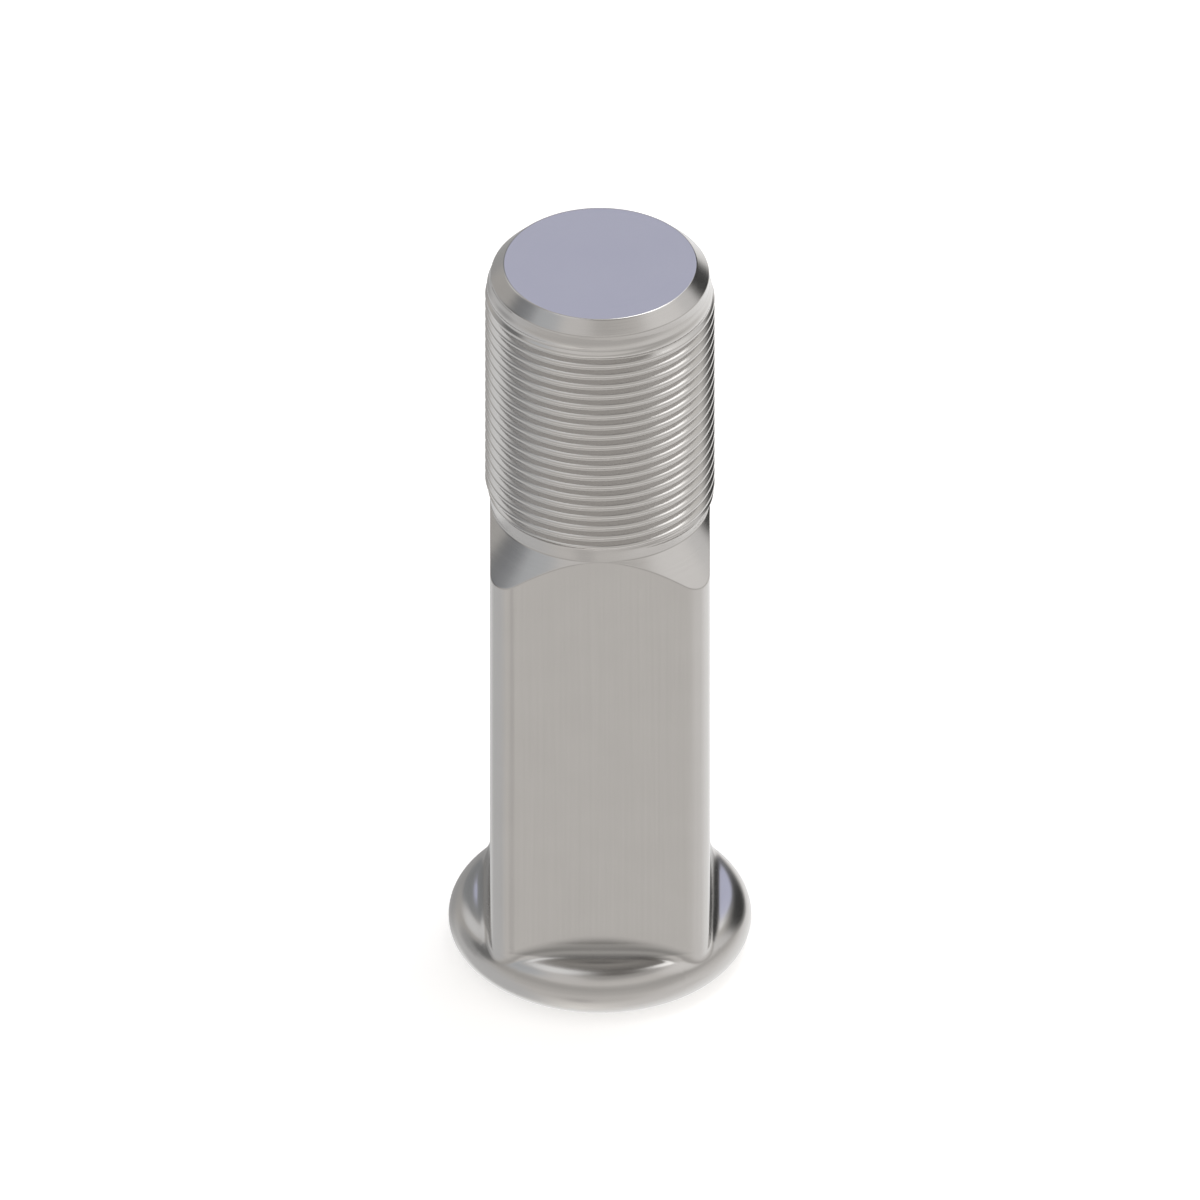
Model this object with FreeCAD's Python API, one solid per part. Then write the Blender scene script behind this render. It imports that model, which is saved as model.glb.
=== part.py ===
import FreeCAD, Part

import math
import os

from FreeCAD import Vector

# Transport lock bolt: a threaded end, a rounded square neck and a round head, forged
# and turned as one piece of steel. Lengths are in millimetres. The origin is the
# middle of the head's underside, +Z runs up the axis to the threaded end, and the
# neck's flats face +X, -X, +Y and -Y.

# Whole bolt, from the head's underside to the end face
OVERALL_LENGTH = 100.0

# Head: a round disc that stands out past the neck's corners. Its rim is one full
# round, so the rim's radius is half the thickness.
HEAD_OVERHANG = 0.76
HEAD_THICKNESS = 6.7

# Neck: a square with rounded corners, which keeps the bolt from turning in its hole
ACROSS_FLATS = 26.7
NECK_CORNER_RADIUS = 3.0
NECK_ROOT_RADIUS = 1.6

# Shoulder: the cone that brings the square's corners down to the round shank,
# as an angle from the axis
SHOULDER_ANGLE = 45.0

# Threaded end, from the top of the shoulder to the end face
THREADED_END_LENGTH = 35.0
SHANK_DIAMETER = 26.6
THREAD_DIAMETER = 27.9

# Bare shank beside the shoulder and beside the chamfer, and the length over which
# the rolled thread rises from the shank to its full diameter
SHOULDER_BAND = 1.7
END_BAND = 1.2
THREAD_LEAD = 1.0

# Chamfer at 45 degrees round the end face
END_CHAMFER = 1.55

# How near a point must be to count as lying on a surface
TOUCHING = 1e-4

CORNER_CENTRE = ACROSS_FLATS / 2 - NECK_CORNER_RADIUS
CORNER_REACH = CORNER_CENTRE * math.sqrt(2) + NECK_CORNER_RADIUS
HEAD_RADIUS = CORNER_REACH + HEAD_OVERHANG
RIM_RADIUS = HEAD_THICKNESS / 2
SHANK_RADIUS = SHANK_DIAMETER / 2
THREAD_RADIUS = THREAD_DIAMETER / 2
SHOULDER_TOP = OVERALL_LENGTH - THREADED_END_LENGTH

AXIS_FOOT = Vector(0, 0, 0)
UP = Vector(0, 0, 1)


def turned(edges):
    """The solid that a closed half profile in the XZ plane sweeps round the axis."""
    return Part.Face(Part.Wire(edges)).revolve(AXIS_FOOT, UP, 360)


def straight_profile(points):
    """The straight edges of a closed outline through (radius, height) points."""
    corners = [Vector(radius, 0, height) for radius, height in points]
    return [Part.makeLine(a, b) for a, b in zip(corners, corners[1:] + corners[:1])]


def rim_point(angle):
    """The point of the head's rim at an angle in degrees above level."""
    turn = math.radians(angle)
    reach = HEAD_RADIUS - RIM_RADIUS + RIM_RADIUS * math.cos(turn)
    return Vector(reach, 0, RIM_RADIUS + RIM_RADIUS * math.sin(turn))


def round_head():
    """The disc: flat under and over, its rim a quarter circle up and a quarter back in."""
    over_middle = UP * HEAD_THICKNESS
    return turned([
        Part.makeLine(AXIS_FOOT, rim_point(-90)),
        Part.Arc(rim_point(-90), rim_point(-45), rim_point(0)).toShape(),
        Part.Arc(rim_point(0), rim_point(45), rim_point(90)).toShape(),
        Part.makeLine(rim_point(90), over_middle),
        Part.makeLine(over_middle, AXIS_FOOT),
    ])


def rounded_square(height):
    """The neck's section at a height: four flats joined by quarter circles."""
    half = ACROSS_FLATS / 2
    diagonal = CORNER_REACH * math.sqrt(0.5)
    flat_start = Vector(half, -CORNER_CENTRE, height)
    flat_end = Vector(half, CORNER_CENTRE, height)
    corner_middle = Vector(diagonal, diagonal, height)
    corner_end = Vector(CORNER_CENTRE, half, height)
    flat = Part.makeLine(flat_start, flat_end)
    corner = Part.Arc(flat_end, corner_middle, corner_end).toShape()
    edges = []
    for quarter in range(4):
        for edge in (flat, corner):
            edges.append(edge.rotated(AXIS_FOOT, UP, 90 * quarter))
    return Part.Face(Part.Wire(edges))


def shoulder_envelope():
    """What the turned cone leaves of the square bar: a cylinder clear of its corners,
    under a cone that ends at the shank."""
    clear_radius = ACROSS_FLATS / math.sqrt(2)
    cone_height = (clear_radius - SHANK_RADIUS) / math.tan(math.radians(SHOULDER_ANGLE))
    return turned(straight_profile([
        (0, RIM_RADIUS),
        (clear_radius, RIM_RADIUS),
        (clear_radius, SHOULDER_TOP - cone_height),
        (SHANK_RADIUS, SHOULDER_TOP),
        (0, SHOULDER_TOP),
    ]))


def square_neck():
    """The rounded square bar from inside the head up to the coned shoulder."""
    bar = rounded_square(RIM_RADIUS).extrude(UP * (SHOULDER_TOP - RIM_RADIUS))
    return bar.common(shoulder_envelope())


def threaded_end():
    """The round end to the outside of its thread, with a bare band at each end."""
    thread_foot = SHOULDER_TOP + SHOULDER_BAND
    chamfer_foot = OVERALL_LENGTH - END_CHAMFER
    thread_head = chamfer_foot - END_BAND
    return turned(straight_profile([
        (0, SHOULDER_TOP),
        (SHANK_RADIUS, SHOULDER_TOP),
        (SHANK_RADIUS, thread_foot),
        (THREAD_RADIUS, thread_foot + THREAD_LEAD),
        (THREAD_RADIUS, thread_head - THREAD_LEAD),
        (SHANK_RADIUS, thread_head),
        (SHANK_RADIUS, chamfer_foot),
        (SHANK_RADIUS - END_CHAMFER, OVERALL_LENGTH),
        (0, OVERALL_LENGTH),
    ]))


def root_edges(bolt, neck):
    """The loop where the neck's flats and corners run into the head."""
    found = []
    for edge in bolt.Edges:
        on_head = edge.BoundBox.ZMin > RIM_RADIUS and edge.BoundBox.ZMax < HEAD_THICKNESS + TOUCHING
        middle = edge.valueAt((edge.FirstParameter + edge.LastParameter) / 2)
        if on_head and neck.distToShape(Part.Vertex(middle))[0] < TOUCHING:
            found.append(edge)
    return found


def lock_bolt():
    """Head, neck and threaded end as one solid, with the neck's root rounded."""
    neck = square_neck()
    bolt = round_head().fuse([neck, threaded_end()]).Solids[0]
    return bolt.makeFillet(NECK_ROOT_RADIUS, root_edges(bolt, neck)).Solids[0]


os.makedirs("parts", exist_ok=True)
lock_bolt().exportStep("parts/lock_bolt.step")
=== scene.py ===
import bmesh
import bpy
import mathutils
import numpy as np
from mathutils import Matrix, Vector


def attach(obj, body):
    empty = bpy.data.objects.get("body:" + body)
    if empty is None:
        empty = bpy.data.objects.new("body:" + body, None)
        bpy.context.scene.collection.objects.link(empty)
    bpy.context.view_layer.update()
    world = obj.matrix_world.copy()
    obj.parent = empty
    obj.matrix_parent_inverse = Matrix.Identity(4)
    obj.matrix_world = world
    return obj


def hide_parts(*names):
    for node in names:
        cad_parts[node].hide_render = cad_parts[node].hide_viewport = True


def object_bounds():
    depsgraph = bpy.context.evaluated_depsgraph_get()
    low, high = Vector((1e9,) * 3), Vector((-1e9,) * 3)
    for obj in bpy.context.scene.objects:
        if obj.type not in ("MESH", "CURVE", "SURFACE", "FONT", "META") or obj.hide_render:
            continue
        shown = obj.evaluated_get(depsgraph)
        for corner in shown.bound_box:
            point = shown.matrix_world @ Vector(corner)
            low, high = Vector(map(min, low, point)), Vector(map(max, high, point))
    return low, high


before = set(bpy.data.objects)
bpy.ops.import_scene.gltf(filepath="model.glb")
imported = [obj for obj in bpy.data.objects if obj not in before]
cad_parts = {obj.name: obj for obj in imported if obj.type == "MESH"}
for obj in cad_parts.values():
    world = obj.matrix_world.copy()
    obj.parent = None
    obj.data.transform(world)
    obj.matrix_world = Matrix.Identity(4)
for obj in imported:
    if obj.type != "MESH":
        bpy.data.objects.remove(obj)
cad_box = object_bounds()

# The view: from the front and above without perspective, at the elevation of an isometric
# drawing. The camera looks at the middle of the bolt's length, square to a flat of the neck.
MM = 0.001
CAMERA_ELEVATION = np.arcsin(1 / np.sqrt(3))
CAMERA_DISTANCE = 600 * MM
NEAREST_SEEN = 1 * MM
FARTHEST_SEEN = 10.0
VIEW_WIDTH = 145.63 * MM

aim_height = (cad_box[0][2] + cad_box[1][2]) / 2
camera_data = bpy.data.cameras.new("catalogue_view")
camera_data.type = "ORTHO"
camera_data.ortho_scale = VIEW_WIDTH
camera_data.clip_start = NEAREST_SEEN
camera_data.clip_end = FARTHEST_SEEN
camera = bpy.data.objects.new("catalogue_view", camera_data)
camera.location = (
    0,
    -CAMERA_DISTANCE * np.cos(CAMERA_ELEVATION),
    aim_height + CAMERA_DISTANCE * np.sin(CAMERA_ELEVATION),
)
camera.rotation_euler = (np.pi / 2 - CAMERA_ELEVATION, 0, 0)
bpy.context.scene.collection.objects.link(camera)
bpy.context.scene.camera = camera
bpy.context.scene.view_settings.view_transform = "Standard"


# The studio: a grey room, paler below, with soft panels and dark gaps between them, which
# satin metal mirrors as broad bands. It is the world's colour by direction, and one soft
# lamp above the bolt's right gives it a shadow.
class Wire:
    """A shader node's output that Python expressions act on.

    An expression on numbers and wires adds the Math nodes that work it out, and
    node() adds a node of any other kind.
    """

    def __init__(self, tree, output=None):
        self.tree = tree
        self.output = output

    def node(self, kind, settings, values, output=0):
        """Adds a node: its settings first, then what its sockets hold or are fed by."""
        made = self.tree.nodes.new(kind)
        for name, value in settings.items():
            if name == "stops":
                stops = made.color_ramp.elements
                while len(stops) < len(value):
                    stops.new(1)
                for stop, (place, colour) in zip(stops, value):
                    stop.position = place
                    stop.color = colour
            else:
                setattr(made, name, value)
        for name, value in values.items():
            if isinstance(value, Wire):
                self.tree.links.new(value.output, made.inputs[name])
            else:
                made.inputs[name].default_value = value
        return Wire(self.tree, made.outputs[output] if len(made.outputs) else None)

    def math(self, operation, *terms):
        return self.node("ShaderNodeMath", {"operation": operation}, dict(enumerate(terms)))

    def __add__(self, other):
        return self.math("ADD", self, other)

    def __radd__(self, other):
        return self.math("ADD", other, self)

    def __sub__(self, other):
        return self.math("SUBTRACT", self, other)

    def __rsub__(self, other):
        return self.math("SUBTRACT", other, self)

    def __mul__(self, other):
        return self.math("MULTIPLY", self, other)

    def __rmul__(self, other):
        return self.math("MULTIPLY", other, self)

    def __truediv__(self, other):
        return self.math("DIVIDE", self, other)

    def __rtruediv__(self, other):
        return self.math("DIVIDE", other, self)

    def smooth_step(self, low, high):
        """0 below low, 1 above high, and an S-curve between."""
        return self.node("ShaderNodeMapRange", {"interpolation_type": "SMOOTHSTEP"},
                         {"Value": self, "From Min": low, "From Max": high})

    def between(self, start, end):
        """The colour that goes from start to end as this wire goes from 0 to 1."""
        return self.node("ShaderNodeMix", {"data_type": "RGBA"}, {0: self, 6: start, 7: end}, 2)


ROOM_TINT = (1.03, 1.00, 0.96)
ROOM_STRENGTH = 1.05

# Elevation in degrees and the room's brightness there
ROOM_LEVELS = (
    (-90, 1.10),
    (-60, 0.94),
    (-45, 0.78),
    (-35, 0.70),
    (-15, 0.67),
    (0, 0.58),
    (15, 0.50),
    (25, 0.55),
    (35, 0.73),
    (50, 0.70),
    (60, 0.45),
    (90, 0.42),
)

# Each panel or gap: azimuth from the front towards the right and elevation in degrees,
# the angles from its middle at which it is still full and is gone, and its colour
PANELS = (
    (90, -45, 20, 60, (0.84, 0.82, 0.80)),
    (-100, -35, 20, 50, (0.66, 0.66, 0.66)),
    (150, -45, 25, 60, (1.02, 1.01, 1.00)),
    (180, -40, 15, 45, (1.05, 1.05, 1.05)),
    (-16, -36, 3, 11, (0.61, 0.59, 0.57)),
    (-160, -12, 10, 34, (0.42, 0.42, 0.42)),
    (-106, 3, 8, 22, (0.44, 0.44, 0.44)),
    (170, 25, 10, 30, (0.26, 0.26, 0.28)),
    (-162, 27, 10, 22, (0.30, 0.31, 0.32)),
    (171, 36, 10, 15, (0.66, 0.68, 0.87)),
    (-40, 50, 8, 24, (0.77, 0.75, 0.73)),
    (83, 38, 12, 28, (0.92, 0.90, 0.88)),
    (110, 25, 6, 17, (0.80, 0.79, 0.78)),
    (-132, 34, 6, 18, (0.84, 0.84, 0.84)),
    (-85, 72, 7, 18, (1.04, 1.04, 1.04)),
    (-113, 53, 6, 15, (0.34, 0.34, 0.34)),
    (-70, 42, 6, 20, (0.59, 0.61, 0.63)),
    (-96, 35, 5, 16, (0.30, 0.31, 0.33)),
    (-95, 18, 6, 17, (0.20, 0.20, 0.20)),
    (139, 15, 11, 26, (0.05, 0.05, 0.05)),
    (50, 81, 4, 14, (0.17, 0.16, 0.15)),
    (148, 52, 8, 16, (1.25, 1.25, 1.25)),
    (148, 66, 6, 13, (4.50, 4.50, 4.50)),
)


def towards(azimuth, elevation):
    """The unit vector towards an azimuth and an elevation in degrees."""
    a, e = np.radians([azimuth, elevation])
    return np.array([np.sin(a) * np.cos(e), -np.cos(a) * np.cos(e), np.sin(e)])


def opaque(colour):
    return (*colour, 1)


world = bpy.data.worlds.new("studio")
bpy.context.scene.world = world
world.use_nodes = True
world.node_tree.nodes.clear()
studio = Wire(world.node_tree)
direction = studio.node("ShaderNodeTexCoord", {}, {}, "Generated")
rise = studio.node("ShaderNodeSeparateXYZ", {}, {0: direction}, "Z")
levels = [((np.sin(np.radians(elevation)) + 1) / 2, opaque(level * np.array(ROOM_TINT)))
          for elevation, level in ROOM_LEVELS]
light = studio.node("ShaderNodeValToRGB", {"stops": levels}, {0: rise * 0.5 + 0.5})
for azimuth, elevation, full_angle, gone_angle, colour in PANELS:
    nearness = studio.node("ShaderNodeVectorMath", {"operation": "DOT_PRODUCT"},
                           {0: direction, 1: tuple(towards(azimuth, elevation))}, "Value")
    share = nearness.smooth_step(np.cos(np.radians(gone_angle)), np.cos(np.radians(full_angle)))
    light = share.between(light, opaque(colour))
seen_by_camera = studio.node("ShaderNodeLightPath", {}, {}, "Is Camera Ray")
background = studio.node("ShaderNodeBackground", {}, {
    "Color": seen_by_camera.between(light, opaque((1, 1, 1))), "Strength": ROOM_STRENGTH})
studio.node("ShaderNodeOutputWorld", {}, {"Surface": background})

LAMP_DIRECTION = towards(103, 60)
LAMP_DISTANCE = 600 * MM
LAMP_SIZE = 220 * MM
LAMP_POWER = 0.15

lamp_data = bpy.data.lights.new("shoulder_lamp", "AREA")
lamp_data.shape = "DISK"
lamp_data.size = LAMP_SIZE
lamp_data.energy = LAMP_POWER
lamp = bpy.data.objects.new("shoulder_lamp", lamp_data)
lamp_offset = mathutils.Vector(LAMP_DIRECTION * LAMP_DISTANCE)
lamp.location = lamp_offset + mathutils.Vector((0, 0, aim_height))
lamp.rotation_euler = lamp_offset.to_track_quat("Z", "Y").to_euler()
bpy.context.scene.collection.objects.link(lamp)

# The table: a white board. The camera sees it brightened to white round the bolt's shadow,
# and the metal mirrors the pale room in its place.
TABLE_HALF = 3.0
TABLE_DROP = 0.02 * MM
TABLE_COLOUR = (0.90, 0.89, 0.88)
TABLE_GLOW = 0.50

table_mesh = bpy.data.meshes.new("table")
table_plan = np.array([(-1, -1), (1, -1), (1, 1), (-1, 1)]) * TABLE_HALF
table_mesh.from_pydata(np.c_[table_plan, np.full(4, -TABLE_DROP)], [], [(0, 1, 2, 3)])
table = bpy.data.objects.new("table", table_mesh)
bpy.context.scene.collection.objects.link(table)
board = bpy.data.materials.new("white_board")
board.use_nodes = True
board.node_tree.nodes.clear()
paint = Wire(board.node_tree)
camera_share = paint.node("ShaderNodeLightPath", {}, {}, "Is Camera Ray")
mirror_share = paint.node("ShaderNodeLightPath", {}, {}, "Is Glossy Ray")
diffuse = paint.node("ShaderNodeBsdfDiffuse", {}, {"Color": opaque(TABLE_COLOUR)})
lift = paint.node("ShaderNodeEmission", {}, {"Strength": camera_share * TABLE_GLOW})
lit = paint.node("ShaderNodeAddShader", {}, {0: diffuse, 1: lift})
clear = paint.node("ShaderNodeBsdfTransparent", {}, {})
shown = paint.node("ShaderNodeMixShader", {}, {0: mirror_share, 1: lit, 2: clear})
paint.node("ShaderNodeOutputMaterial", {}, {"Surface": shown})
table_mesh.materials.append(board)


# The bolt: one bar of steel. Its square neck keeps the rolled bar's section, the head is
# upset from it, and the end is turned round, chamfered and thread-rolled.
# Lengths are in millimetres until the mesh is made.
ACROSS_FLATS = 26.7
NECK_CORNER_RADIUS = 3.0
FLAT_STEPS = 36
CORNER_STEPS = 10
SUPPORT = 0.12


def neck_outline():
    """The rounded square as complex numbers x + iy: its points and its outward normals.

    A flat is x = half, y = half tan(turn), a corner is centre + radius e^(i turn), and
    each further quarter is the first times i. The last point repeats the first.
    """
    half = ACROSS_FLATS / 2
    centre = half - NECK_CORNER_RADIUS
    turn_of_end = np.arctan2(centre, half)
    turn_of_support = np.arctan2(centre - SUPPORT, half)
    flat_turns = np.r_[-turn_of_end, np.linspace(-turn_of_support, turn_of_support, FLAT_STEPS)]
    corner_turns = np.linspace(0, np.pi / 2, CORNER_STEPS + 1)[:-1]
    flat = half * (1 + 1j * np.tan(flat_turns))
    corner = centre * (1 + 1j) + NECK_CORNER_RADIUS * np.exp(1j * corner_turns)
    points = np.r_[flat, corner]
    normals = np.r_[np.ones(len(flat)), np.exp(1j * corner_turns)]
    quarters = 1j ** np.arange(4)[:, None]
    points = (quarters * points).ravel()
    normals = (quarters * normals).ravel()
    return np.r_[points, points[0]], np.r_[normals, normals[0]]


wall, wall_normal = neck_outline()
wall_reach = np.abs(wall)
outward = wall / wall_reach


def rows(plan, height):
    """Rows of points (x, y, z) from plan positions x + iy and heights, spread to one shape."""
    plan, height = np.broadcast_arrays(plan, height)
    return np.stack([plan.real, plan.imag, height], axis=-1)


def softened(start, corner, end, steps=4):
    """A small rounding of an edge: (1-t)^2 start + 2t(1-t) corner + t^2 end."""
    t = np.linspace(0, 1, steps + 1)[:, None, None]
    return (1 - t) ** 2 * start + 2 * t * (1 - t) * corner + t ** 2 * end


# Head: a disc with a full-round rim. The neck's root is the path of a ball that rolls
# round the neck, touching both its wall and the head.
HEAD_RADIUS = 18.385
HEAD_THICKNESS = 6.7
ROOT_RADIUS = 1.6
RIM_STEPS = 40
ROOT_STEPS = 9

rim_radius = HEAD_THICKNESS / 2
flat_radius = HEAD_RADIUS - rim_radius
ball = wall + ROOT_RADIUS * wall_normal
ball_reach = np.abs(ball)
ball_outward = ball / ball_reach
past_flat = np.maximum(ball_reach - flat_radius, 0)
ball_height = rim_radius + np.sqrt((rim_radius + ROOT_RADIUS) ** 2 - past_flat ** 2)


def head_rows():
    """Underside and rim: angles from straight down up to the ball's touch, at
    flat radius + rim radius cos(angle), rim radius (1 + sin(angle))."""
    touch = np.arctan2(ball_height - rim_radius, past_flat)
    t = np.linspace(0, 1, RIM_STEPS + 1)[:, None]
    angle = -np.pi / 2 + t * (touch + np.pi / 2)
    reach = flat_radius + rim_radius * np.cos(angle)
    rim = rows(ball_outward * reach, rim_radius * (1 + np.sin(angle)))
    underside = rows(ball_outward * np.array([[0], [flat_radius - SUPPORT]]), 0)
    return np.concatenate([underside, rim])


def root_rows():
    """The ball's near side between its two touches: the arc from the unit vector b
    towards the head to the unit vector a towards the wall, which is
    (sin((1-t)w) b + sin(tw) a) / sin w, where w is the angle between them."""
    to_wall = rows(-wall_normal, 0)
    to_head = rows(-ball_outward * past_flat, rim_radius - ball_height) / (rim_radius + ROOT_RADIUS)
    spread = np.arccos((to_wall * to_head).sum(axis=1))[None, :, None]
    t = np.linspace(0, 1, ROOT_STEPS + 1)[:, None, None]
    arc = (np.sin((1 - t) * spread) * to_head + np.sin(t * spread) * to_wall) / np.sin(spread)
    return rows(ball, ball_height) + ROOT_RADIUS * arc


# Neck and shoulder: the wall rises to where the turned cone cuts it, lowest at the
# corners, and the cone runs in to the shank.
SHOULDER_TOP = 65.0
SHANK_RADIUS = 13.3
EDGE_ROUNDING = 0.16

# How far an edge's curve runs along a 45 degree slope, measured along one axis, as a share
# of its rounding
SLOPE_SHARE = 0.7


def neck_rows():
    """The wall, the cut edge and the 45 degree cone, with narrow rows beside each edge
    that keep the wall and the cone straight. Where the cone is short, near the middle of a
    flat, an edge's rounding takes at most a third of it."""
    rise = wall_reach - SHANK_RADIUS
    cut = SHOULDER_TOP - rise
    ease = np.minimum(EDGE_ROUNDING, rise / 3)

    def wall_at(height):
        return rows(wall, height)

    def cone_at(distance):
        return rows(outward * (wall_reach - distance), cut + distance)

    def shank_at(distance):
        return rows(outward * SHANK_RADIUS, SHOULDER_TOP + distance)

    sides = [wall_at(ball_height + SUPPORT), wall_at(cut - ease - SUPPORT)]
    edge = softened(wall_at(cut - ease), wall_at(cut), cone_at(ease * SLOPE_SHARE))
    cone = [cone_at(ease), cone_at(rise - ease)]
    foot = softened(cone_at(rise - ease * SLOPE_SHARE), cone_at(rise), shank_at(ease))
    shank = [shank_at(ease + SUPPORT)]
    return np.concatenate([sides, edge, cone, foot, shank])


# Thread: M28 x 1.5, right-hand. The dies press the grooves below the shank and raise the
# ridges above it. Tops and bottoms are round, and they fade out at the thread's two ends,
# which lie askew: they drop from -X to +X.
PITCH = 1.5
CREST_RADIUS = 13.95
CREST_ROUNDING = 0.30
GROOVE_ROUNDING = 0.22
FLANK_SUPPORT = 0.04
THREAD_FOOT = 66.7
THREAD_HEAD = 98.3
FOOT_LEAD = 1.0
HEAD_LEAD = 2.0
HEAD_FADE = 2.9
END_DROP = 1.0
FRONT_CREST = 67.43


def thread_profile():
    """Offsets along one pitch from the middle of a ridge, and the depths below its top.

    The flanks lean 30 degrees from square and would meet in a V of height
    pitch sqrt(3) / 2, whose two ends are arcs: on the ridge, offset r sin(a) and
    depth r (1 - cos(a)), and in the groove, offset pitch / 2 + R sin(a) and
    depth D - R (1 - cos(a)), for a within 60 degrees either way."""
    crest_arc = np.radians([-60, -40, -20, 0, 20, 40, 60])
    groove_arc = np.radians([-60, -30, 0, 30, 60])
    full_depth = PITCH * np.sqrt(3) / 2 - CREST_ROUNDING - GROOVE_ROUNDING
    crest = CREST_ROUNDING * np.sin(crest_arc)
    crest_depth = CREST_ROUNDING * (1 - np.cos(crest_arc))
    groove = PITCH / 2 + GROOVE_ROUNDING * np.sin(groove_arc)
    groove_depth = full_depth - GROOVE_ROUNDING * (1 - np.cos(groove_arc))
    side = np.array([crest[-1] + FLANK_SUPPORT, groove[0] - FLANK_SUPPORT])
    side_depth = crest_depth[-1] + np.sqrt(3) * (side - crest[-1])
    offsets = np.r_[crest, side, groove, PITCH - side[::-1]]
    depths = np.r_[crest_depth, side_depth, groove_depth, side_depth[::-1]]
    return offsets, depths


def thread_rows():
    """The thread as a sheared grid: a row climbs one pitch per turn, so its height is
    start + pitch turn / 2 pi, held between the thread's ends. At the upper end the
    ridges' tops climb along a cone and the grooves deepen with t^2, for t the share of
    the fade's length. At the foot what stands above the shank rises by the S-curve
    3 t^2 - 2 t^3, for t the share of the lead, and no steeper than a cone."""
    offsets, depths = thread_profile()
    turn = np.unwrap(np.angle(wall))
    front = turn[0] + np.mod(-np.pi / 2 - turn[0], 2 * np.pi)
    first = FRONT_CREST - PITCH * (front - turn[0]) / (2 * np.pi)
    lowest = np.floor((THREAD_FOOT - PITCH - first) / PITCH) - 1
    highest = np.ceil((THREAD_HEAD - first) / PITCH) + 1
    pitches = np.arange(lowest, highest + 1)[:, None]
    starts = (first + pitches * PITCH + offsets).ravel()[:, None]
    depths = np.tile(depths, len(pitches))[:, None]
    drop = END_DROP * ((1 + outward.real) / 2) ** 2
    foot, head = THREAD_FOOT - drop, THREAD_HEAD - drop
    height = np.clip(starts + PITCH * (turn - turn[0]) / (2 * np.pi), foot, head)
    tops = (CREST_RADIUS - SHANK_RADIUS) * np.clip((head - height) / HEAD_LEAD, 0, 1)
    proud = tops - depths * np.clip((head - height) / HEAD_FADE, 0, 1) ** 2
    lead = np.clip((height - foot) / FOOT_LEAD, 0, 1)
    risen = np.minimum(proud * lead * lead * (3 - 2 * lead), tops * lead)
    return rows(outward * (SHANK_RADIUS + risen), height)


# End: a 45 degree chamfer round a faced end.
OVERALL_LENGTH = 100.0
END_CHAMFER = 1.55

# How far an edge's curve runs along the shank or the face, and along one axis on the
# chamfer, as shares of its rounding
SIDE_SHARE = 0.8
CHAMFER_SHARE = 0.57


def end_rows():
    """The chamfer and the end face, with the two edges softened."""
    foot = OVERALL_LENGTH - END_CHAMFER
    face_radius = SHANK_RADIUS - END_CHAMFER
    along = EDGE_ROUNDING * SIDE_SHARE
    slant = EDGE_ROUNDING * CHAMFER_SHARE

    def ring(radius, height):
        return rows(outward * radius, height)

    band = [ring(SHANK_RADIUS, foot - EDGE_ROUNDING)]
    low = softened(ring(SHANK_RADIUS, foot - along), ring(SHANK_RADIUS, foot),
                   ring(SHANK_RADIUS - slant, foot + slant))
    chamfer = [ring(SHANK_RADIUS - EDGE_ROUNDING, foot + EDGE_ROUNDING),
               ring(face_radius + EDGE_ROUNDING, OVERALL_LENGTH - EDGE_ROUNDING)]
    high = softened(ring(face_radius + slant, OVERALL_LENGTH - slant),
                    ring(face_radius, OVERALL_LENGTH), ring(face_radius - along, OVERALL_LENGTH))
    face = [ring(face_radius - EDGE_ROUNDING, OVERALL_LENGTH), ring(0, OVERALL_LENGTH)]
    return np.concatenate([band, low, chamfer, high, face])


MERGE_DISTANCE = 0.0002 * MM

surface = np.concatenate([head_rows(), root_rows(), neck_rows(), thread_rows(), end_rows()]) * MM
row_count, column_count = surface.shape[:2]
index = np.arange(row_count * column_count).reshape(row_count, column_count)
quads = np.stack([index[:-1, :-1], index[:-1, 1:], index[1:, 1:], index[1:, :-1]], axis=-1)
bolt_mesh = bpy.data.meshes.new("threaded_bolt")
bolt_mesh.from_pydata(surface.reshape(-1, 3), [], quads.reshape(-1, 4))
merged = bmesh.new()
merged.from_mesh(bolt_mesh)
bmesh.ops.remove_doubles(merged, verts=merged.verts, dist=MERGE_DISTANCE)
bmesh.ops.dissolve_degenerate(merged, edges=merged.edges, dist=MERGE_DISTANCE)
merged.to_mesh(bolt_mesh)
merged.free()
bolt_mesh.shade_smooth()
bolt = bpy.data.objects.new("threaded_bolt", bolt_mesh)
bpy.context.scene.collection.objects.link(bolt)


# Finish: bare satin steel. Fine rings run round the turned end, cone and head, the
# neck keeps the rolled bar's lengthwise grain, and the dies burnish the rolled ridges. The
# neck's root is darkened with painted shade, which stands in for the shadow and the dark
# mirror image in the concave corner. Lengths are in millimetres.
STEEL_DARK = (0.545, 0.535, 0.525)
STEEL_PALE = (0.595, 0.585, 0.575)
BURNISHED = (0.615, 0.605, 0.595)
# Colour of the painted shade in the concave root of the neck, not a forged finish
ROOT_PAINTED_SHADE = (0.370, 0.364, 0.358)
FEED_RISE = 0.8
RINGS_PER_MM = 2.2
GRAIN_PER_MM = 3.0
GRAIN_STRETCH = 0.03
MARK_DEPTH = 0.006
MOTTLE_PER_MM = 0.16
MOTTLE_DEPTH = 0.010
SPECKLE_PER_MM = 5.0

# Where the rings give way to the neck's grain: heights up the neck, and drops below the
# cone's surface, each from none to all
GRAIN_START = (7.6, 8.6)
GRAIN_END = (0.03, 0.12)

# Painted shade at the neck's root, standing in for the shadow in the concave corner: heights
# over which it starts, and the arch under which it lies, whose top falls with the square of
# the distance from the middle of a flat
ROOT_START = (6.66, 6.95)
ROOT_ARCH_TOP = 9.7
ROOT_ARCH_FALL = 0.02
ROOT_FADE = 1.7

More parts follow.
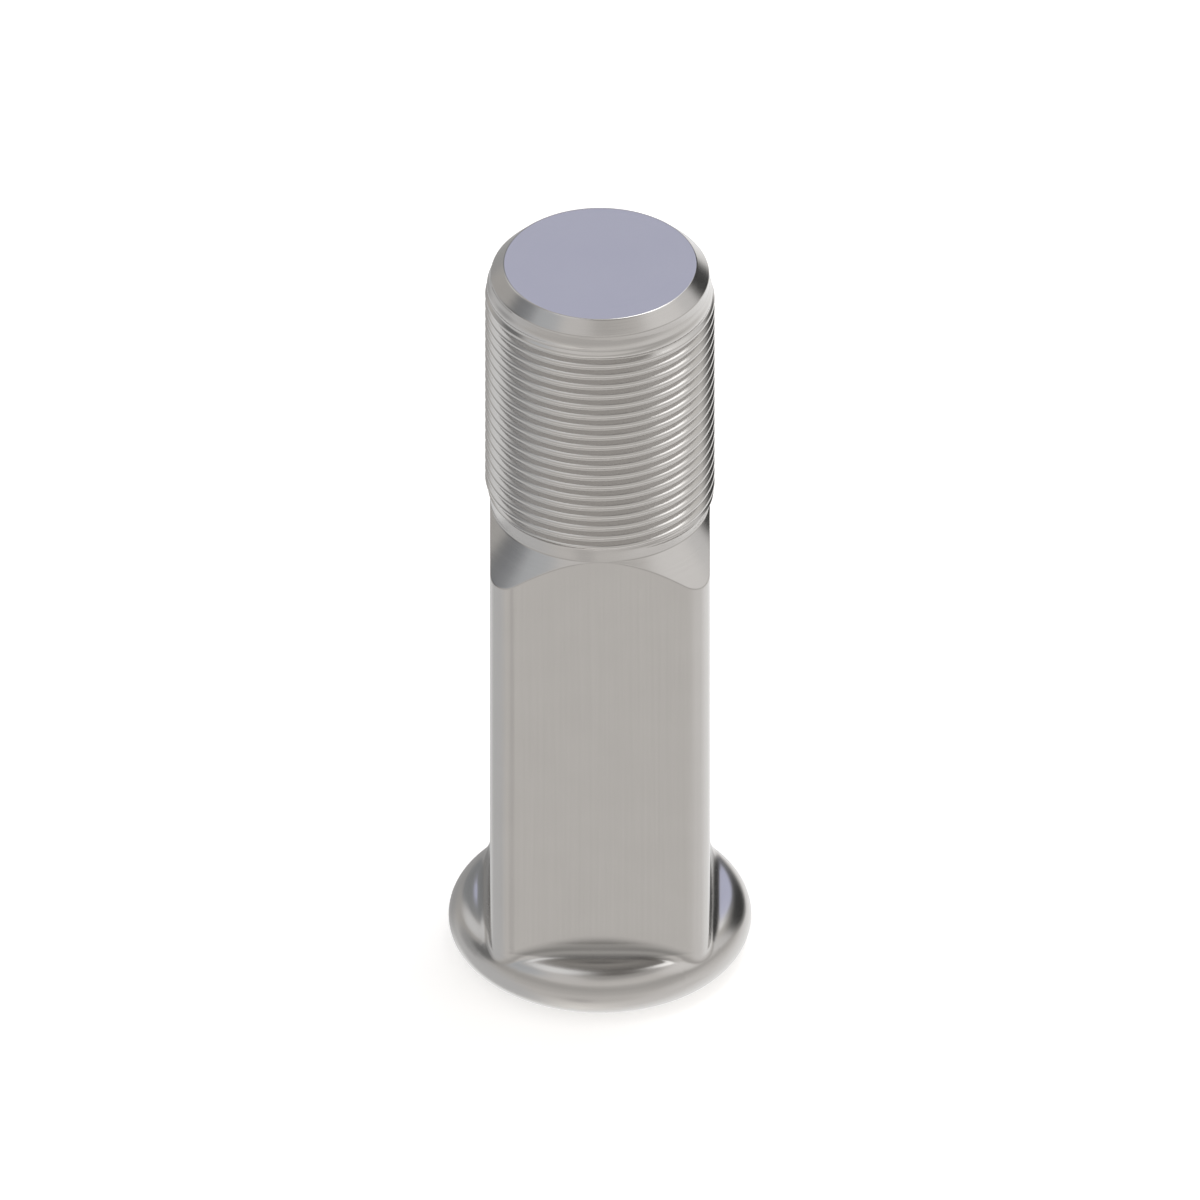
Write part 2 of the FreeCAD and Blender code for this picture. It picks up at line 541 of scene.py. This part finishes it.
# How much each pattern moves the tone from dark to pale steel, and the roughness
MARK_TONE = 0.8
MOTTLE_TONE = 0.8
SPECKLE_TONE = 0.4
TONE_SHIFT = 0.5
PLAIN_ROUGHNESS = 0.135
MARK_ROUGHNESS = 0.06
MOTTLE_ROUGHNESS = 0.05
SPECKLE_ROUGHNESS = 0.02
ROOT_ROUGHNESS = 0.06
THREAD_POLISH = 0.03

steel = bpy.data.materials.new("satin_steel")
steel.use_nodes = True
steel.node_tree.nodes.clear()
metal = Wire(steel.node_tree)
coordinates = metal.node("ShaderNodeTexCoord", {}, {}, "Object")
place = metal.node("ShaderNodeVectorMath", {"operation": "SCALE"}, {0: coordinates, "Scale": 1 / MM})
x, y, z = [metal.node("ShaderNodeSeparateXYZ", {}, {0: place}, axis) for axis in "XYZ"]
radius = metal.math("SQRT", x * x + y * y)


def noise(vector, detail):
    """Cloudy noise between 0 and 1, about 0.5 on average."""
    return metal.node("ShaderNodeTexNoise", {}, {"Vector": vector, "Scale": 1.0, "Detail": detail})


def at(x_value, y_value, z_value):
    return metal.node("ShaderNodeCombineXYZ", {}, {0: x_value, 1: y_value, 2: z_value})


# The cutter's path length runs up the end, in across its face and out over the head
feed = z * FEED_RISE - radius
rings = noise(at(x / radius, y / radius, feed * RINGS_PER_MM), detail=4.0)
grain = noise(at(x * GRAIN_PER_MM, y * GRAIN_PER_MM, z * GRAIN_STRETCH), detail=4.0)
below_cone = (SHOULDER_TOP + SHANK_RADIUS - z - radius).smooth_step(*GRAIN_END)
on_neck = z.smooth_step(*GRAIN_START) * below_cone
marks = rings + on_neck * (grain - rings)
mottle = noise(at(x * MOTTLE_PER_MM, y * MOTTLE_PER_MM, z * MOTTLE_PER_MM), detail=3.0)
speckle = noise(at(x * SPECKLE_PER_MM, y * SPECKLE_PER_MM, z * SPECKLE_PER_MM), detail=1.0)

above_foot = z.smooth_step(THREAD_FOOT, THREAD_FOOT + FOOT_LEAD)
on_thread = above_foot * (THREAD_HEAD - z).smooth_step(0, HEAD_LEAD)
from_middle = metal.math("MINIMUM", metal.math("ABSOLUTE", x), metal.math("ABSOLUTE", y))
arch = ROOT_ARCH_TOP - z - from_middle * from_middle * ROOT_ARCH_FALL
# Mask of the painted shade: the concave root under an arch, darkened as if in shadow
painted_root_shade = z.smooth_step(*ROOT_START) * arch.smooth_step(0, ROOT_FADE)
tone = marks * MARK_TONE + mottle * MOTTLE_TONE + speckle * SPECKLE_TONE - TONE_SHIFT
plain = tone.between(opaque(STEEL_DARK), opaque(STEEL_PALE))
rolled = on_thread.between(plain, opaque(BURNISHED))
# The painted shade darkens the steel's colour at the neck's root
colour = painted_root_shade.between(rolled, opaque(ROOT_PAINTED_SHADE))
patterned = marks * MARK_ROUGHNESS + mottle * MOTTLE_ROUGHNESS + speckle * SPECKLE_ROUGHNESS
roughness = patterned + PLAIN_ROUGHNESS + painted_root_shade * ROOT_ROUGHNESS - on_thread * THREAD_POLISH
relief = (marks * MARK_DEPTH + mottle * MOTTLE_DEPTH) * MM
bump = metal.node("ShaderNodeBump", {}, {"Strength": 1.0, "Distance": 1.0, "Height": relief})
shaded = metal.node("ShaderNodeBsdfPrincipled", {}, {
    "Base Color": colour, "Metallic": 1.0, "Roughness": roughness, "Normal": bump})
metal.node("ShaderNodeOutputMaterial", {}, {"Surface": shaded})
bolt_mesh.materials.append(steel)

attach(bolt, "root")
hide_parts("lock_bolt")
